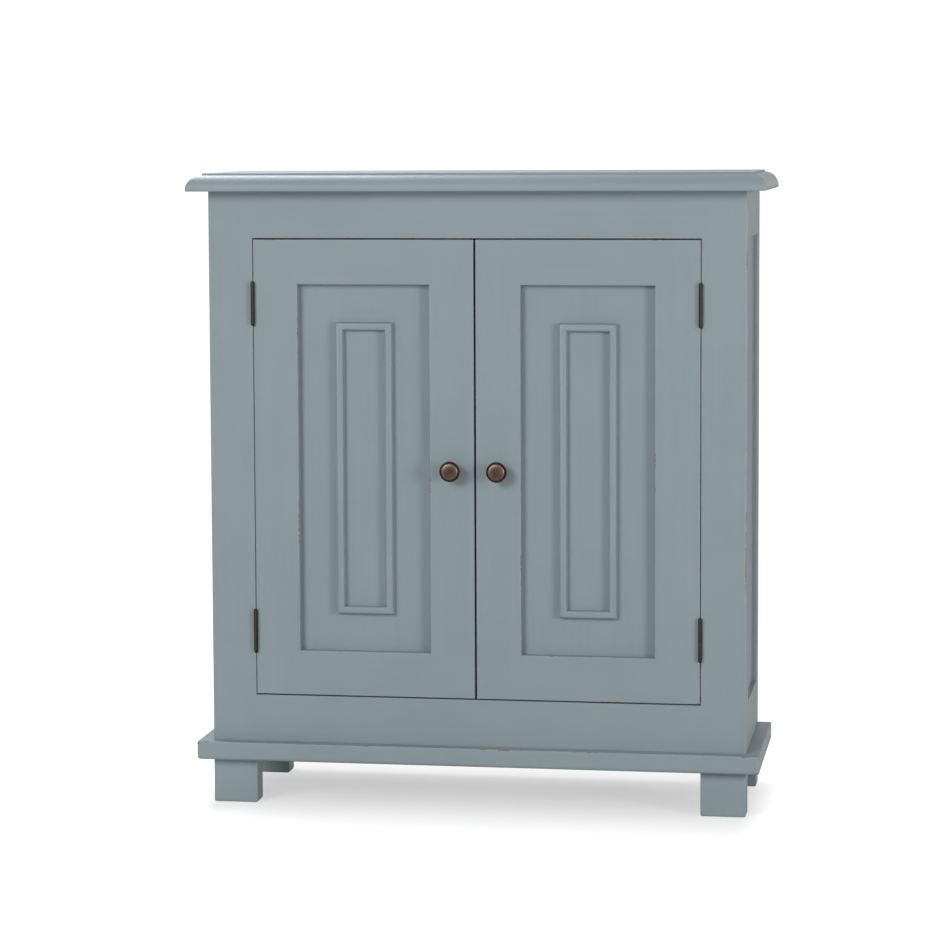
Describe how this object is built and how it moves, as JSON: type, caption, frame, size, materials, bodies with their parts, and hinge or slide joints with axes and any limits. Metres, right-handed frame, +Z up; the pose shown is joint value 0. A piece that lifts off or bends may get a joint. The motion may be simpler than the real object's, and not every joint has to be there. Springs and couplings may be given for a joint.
{
  "type": "icebox cabinet",
  "caption": "Painted wooden icebox-style cabinet with inset framed doors on butt hinges, round knobs, a shelf, a slab plinth and block feet.",
  "frame": {"origin": "on the floor, under the middle of the top board", "axes": "+X to the cabinet's right as seen from the front, +Y towards the wall, +Z up; the doors face -Y"},
  "size_m": [0.9, 0.3, 0.993],
  "materials": {
    "blue_grey_paint": "satin paint over wood, worn through on the edges",
    "interior_wood": "oiled, unpainted",
    "knob_bronze": "antique bronze, rubbed on the face",
    "hinge_bronze": "dark oxidised bronze",
    "plain_steel": "zinc plated",
    "catch_plastic": "brown moulded plastic"
  },
  "bodies": {
    "carcass": {"top_board": "blue_grey_paint", "face_stile_left": "blue_grey_paint", "face_stile_right": "blue_grey_paint", "face_rail_top": "blue_grey_paint", "face_rail_bottom": "blue_grey_paint", "side_front_stile_left": "blue_grey_paint", "side_front_stile_right": "blue_grey_paint", "side_rear_stile_left": "blue_grey_paint", "side_rear_stile_right": "blue_grey_paint", "side_rail_top_left": "blue_grey_paint", "side_rail_top_right": "blue_grey_paint", "side_rail_bottom_left": "blue_grey_paint", "side_rail_bottom_right": "blue_grey_paint", "side_panel_left": "blue_grey_paint", "side_panel_right": "blue_grey_paint", "plinth_front": "blue_grey_paint", "plinth_back": "blue_grey_paint", "plinth_left": "blue_grey_paint", "plinth_right": "blue_grey_paint", "foot_front_left": "blue_grey_paint", "foot_front_right": "blue_grey_paint", "foot_rear_left": "blue_grey_paint", "foot_rear_right": "blue_grey_paint", "back_panel": "interior_wood", "back_rails": "interior_wood", "floor_board": "interior_wood", "floor_cleats": "interior_wood", "top_cleats": "interior_wood", "base_screws": "plain_steel", "top_screws": "plain_steel", "back_screws": "plain_steel", "catch_screws": "plain_steel", "shelf_pins": "plain_steel", "frame_leaves": "hinge_bronze", "frame_hinge_screws": "hinge_bronze", "hinge_pins": "hinge_bronze", "catches": "catch_plastic"},
    "shelf": {"shelf": "interior_wood"},
    "door_left": {"door_left_hinge_stile": "blue_grey_paint", "door_left_meeting_stile": "blue_grey_paint", "door_left_rail_top": "blue_grey_paint", "door_left_rail_bottom": "blue_grey_paint", "door_left_panel": "blue_grey_paint", "door_left_beads": "blue_grey_paint", "door_left_leaves": "hinge_bronze", "door_left_hinge_screws": "hinge_bronze", "door_left_knob": "knob_bronze", "door_left_knob_screw": "plain_steel", "door_left_disc": "plain_steel"},
    "door_right": {"door_right_hinge_stile": "blue_grey_paint", "door_right_meeting_stile": "blue_grey_paint", "door_right_rail_top": "blue_grey_paint", "door_right_rail_bottom": "blue_grey_paint", "door_right_panel": "blue_grey_paint", "door_right_beads": "blue_grey_paint", "door_right_leaves": "hinge_bronze", "door_right_hinge_screws": "hinge_bronze", "door_right_knob": "knob_bronze", "door_right_knob_screw": "plain_steel", "door_right_disc": "plain_steel"}
  },
  "joints": [
    {"name": "door_left_hinge", "type": "hinge", "parent": "carcass", "child": "door_left", "pos_m": [-0.3495, -0.1232, 0.533], "axis": [0, 0, -1], "range_deg": [0, 180]},
    {"name": "door_right_hinge", "type": "hinge", "parent": "carcass", "child": "door_right", "pos_m": [0.3495, -0.1232, 0.533], "axis": [0, 0, 1], "range_deg": [0, 180]},
    {"name": "shelf_lift", "type": "slide", "parent": "carcass", "child": "shelf", "axis": [0, 0, 1], "range_m": [0, 0.03]}
  ]
}
